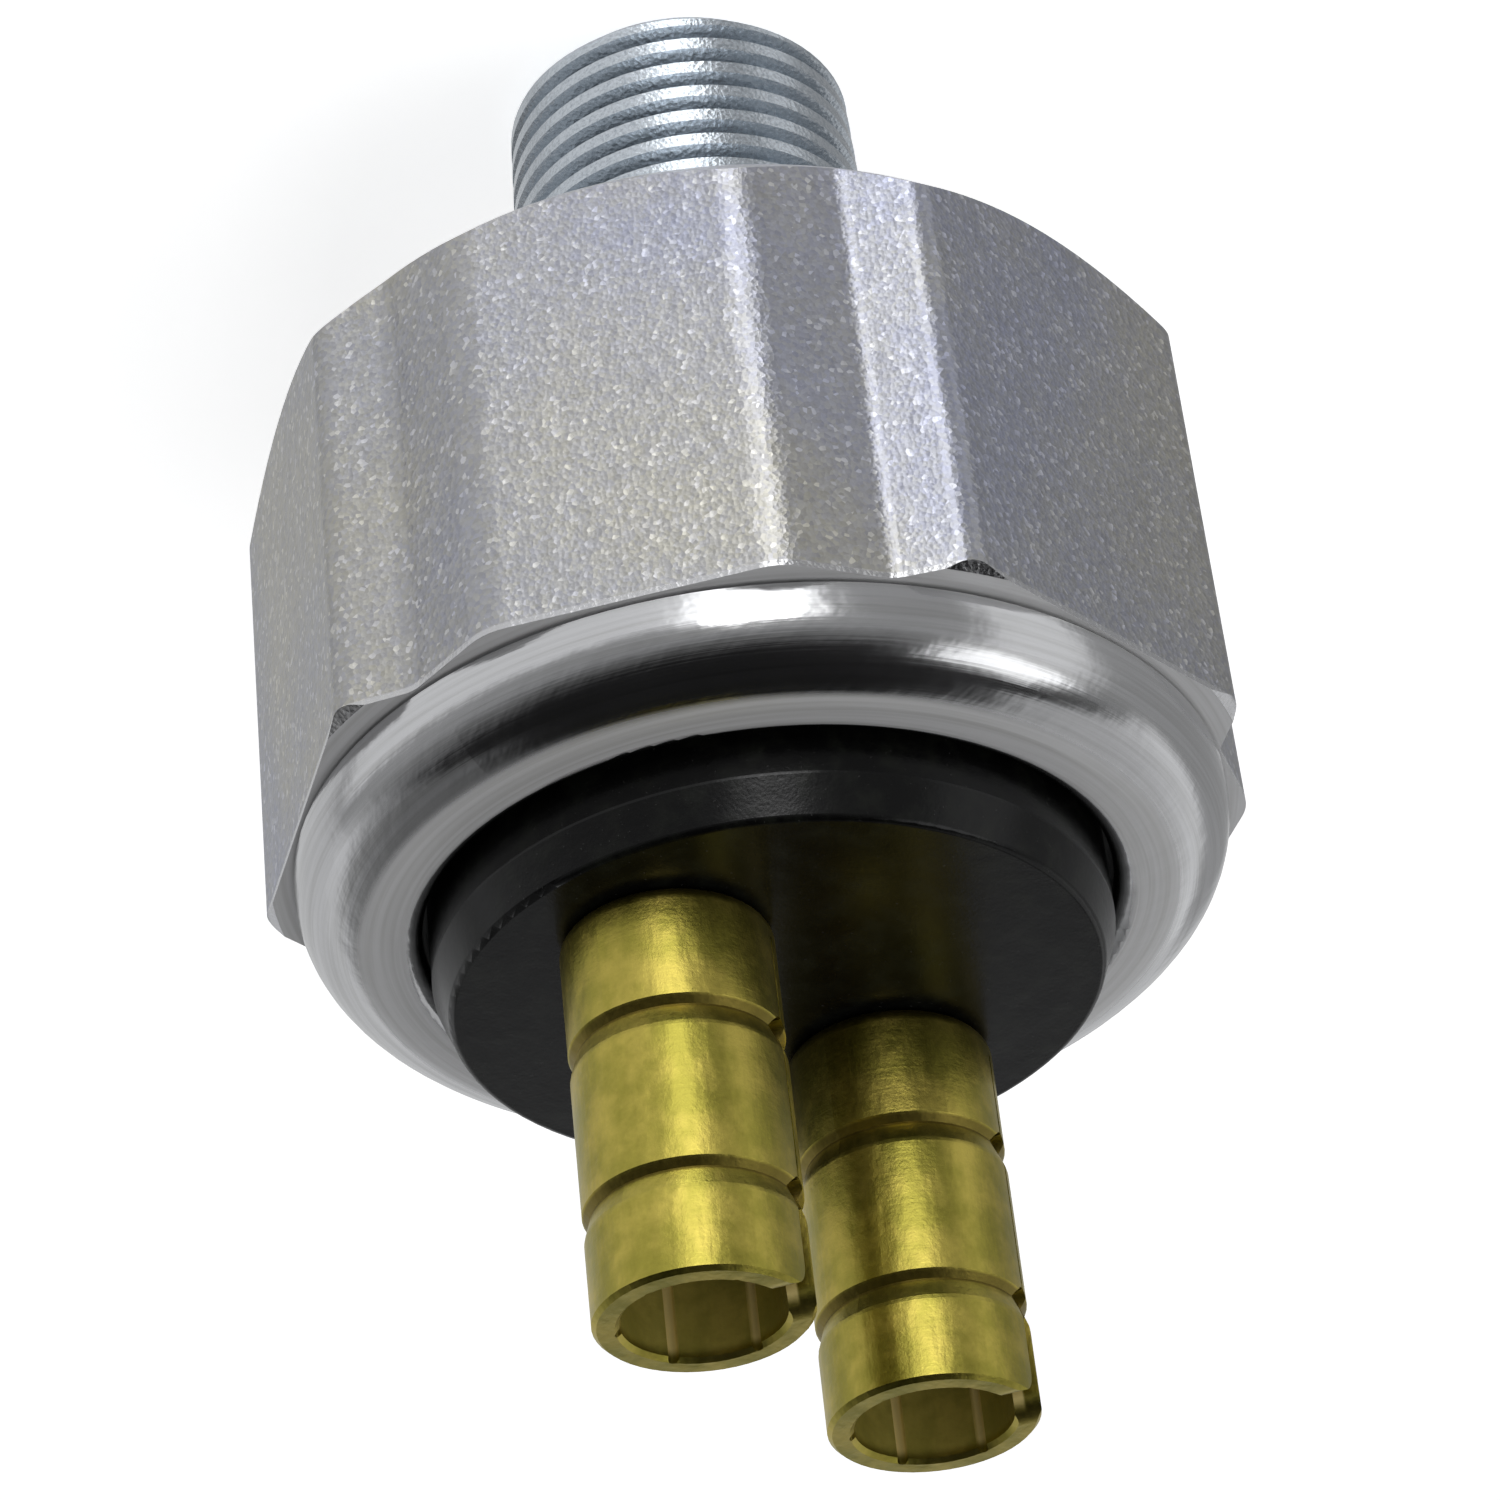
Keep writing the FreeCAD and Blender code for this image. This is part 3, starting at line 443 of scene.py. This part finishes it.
# Soft boxes of the studio, painted in the world: azimuth of the middle and half-width,
# lowest and highest elevation, in degrees, and the light that each adds.
SOFT_BOXES = {
    "front": (-41, 9, -46, -3, 2.25),
    "spot": (-40, 10, -76, -60, 7.0),
    "left": (20, 44, -62, -6, 0.46),
    "side": (-108, 10, -46, 22, 0.55),
    "streak": (-106, 11, 28, 42, 1.9),
    "back": (120, 40, -50, 20, 0.30),
    "under": (0, 180, -90, -62, 0.5),
    "far": (-170, 24, 16, 54, 0.55),
    "far_dim": (110, 40, 16, 54, 0.16),
}
SOFT_EDGE = 9.0
LOWER_LIGHT = 0.38
UPPER_LIGHT = 0.012
FADE_START, FADE_END = 8, 48
SKY_WHITE = (0.98, 0.99, 1.0)
HALF_TURN = 180.0


def make_world():
    """Even light from below and around, nearly none overhead, and the soft boxes."""
    world = bpy.data.worlds.new("studio")
    bpy.context.scene.world = world
    world.use_nodes = True
    s = NodeTree(world.node_tree)
    direction = s.node("ShaderNodeTexCoord").outputs["Generated"]
    unit = s.vector("NORMALIZE", {0: direction})
    x, y, z = s.node("ShaderNodeSeparateXYZ", {0: unit}).outputs
    degrees = HALF_TURN / math.pi
    azimuth = s.times(s.math("ARCTAN2", y, x), degrees)
    elevation = s.times(s.math("ARCSINE", z), degrees)
    light = s.step(elevation, FADE_START, FADE_END, LOWER_LIGHT, UPPER_LIGHT)
    for middle, half_width, low, high, strength in SOFT_BOXES.values():
        away = s.math("WRAP", s.math("SUBTRACT", azimuth, middle), HALF_TURN)
        away.node.inputs[2].default_value = -HALF_TURN
        across = s.step(s.math("ABSOLUTE", away), half_width, half_width + SOFT_EDGE, 1.0, 0.0)
        upright = s.window(elevation, low, high, SOFT_EDGE)
        light = s.add(light, s.times(s.times(across, upright), strength))
    background = world.node_tree.nodes["Background"]
    s.feed(background.inputs["Strength"], light)
    s.feed(background.inputs["Color"], SKY_WHITE)


def area_light(name, azimuth, elevation, distance, size, size_y, power, shines=True):
    """Soft panel that faces the switch. With shines off, it isn't seen in reflections."""
    data = bpy.data.lights.new(name, "AREA")
    data.shape = "RECTANGLE"
    data.size, data.size_y = size, size_y
    data.energy = power
    lamp = bpy.data.objects.new(name, data)
    bpy.context.scene.collection.objects.link(lamp)
    a, e = math.radians(azimuth), math.radians(elevation)
    away = Vector((math.cos(a) * math.cos(e), math.sin(a) * math.cos(e), math.sin(e)))
    middle = (cad_box[0] + cad_box[1]) / 2
    lamp.location = middle + away * distance
    lamp.rotation_mode = "QUATERNION"
    lamp.rotation_quaternion = away.to_track_quat("Z", "Y")
    lamp.visible_camera = False
    lamp.visible_glossy = shines


# -------------------------------------------------------------------- camera

# Angles in degrees, distances in metres, and the sensor and lens in millimetres. The slide
# moves the aim point across and up the picture.
CAMERA_AZIMUTH = 53.269
CAMERA_ELEVATION = 33.725
CAMERA_ROLL = 173.419
CAMERA_DISTANCE = 0.133734
CAMERA_TARGET_HEIGHT = 0.022
CAMERA_SLIDE = (0.000094, -0.000923)
SENSOR = 36.0
LENS = 116.39
NEAREST, FARTHEST = 0.005, 10.0


def make_camera():
    """Camera turned nearly upside down, as in the photograph, where the sockets point down."""
    data = bpy.data.cameras.new("camera")
    data.sensor_width = SENSOR
    data.lens = LENS
    data.clip_start, data.clip_end = NEAREST, FARTHEST
    camera = bpy.data.objects.new("camera", data)
    bpy.context.scene.collection.objects.link(camera)
    a, e, roll = (math.radians(v) for v in (CAMERA_AZIMUTH, CAMERA_ELEVATION, CAMERA_ROLL))
    back = Vector((math.sin(a) * math.cos(e), -math.cos(a) * math.cos(e), math.sin(e)))
    level = Vector((0, 0, 1)).cross(back).normalized()
    over = back.cross(level)
    right = math.cos(roll) * level + math.sin(roll) * over
    up = math.cos(roll) * over - math.sin(roll) * level
    target = Vector((0, 0, CAMERA_TARGET_HEIGHT)) + right * CAMERA_SLIDE[0] + up * CAMERA_SLIDE[1]
    camera.matrix_world = camera_matrix(right, up, back, target + back * CAMERA_DISTANCE)
    bpy.context.scene.camera = camera


def camera_matrix(right, up, back, position):
    return Matrix((
        (right.x, up.x, back.x, position.x),
        (right.y, up.y, back.y, position.y),
        (right.z, up.z, back.z, position.z),
        (0, 0, 0, 1)))


dress_pieces()
make_stage()
make_world()
make_camera()
area_light("key_panel", -41, -2, 0.34, 0.10, 0.10, 0.20)
area_light("top_panel", -60, 62, 0.34, 0.24, 0.24, 0.55, shines=False)
bpy.context.scene.view_settings.view_transform = "Standard"
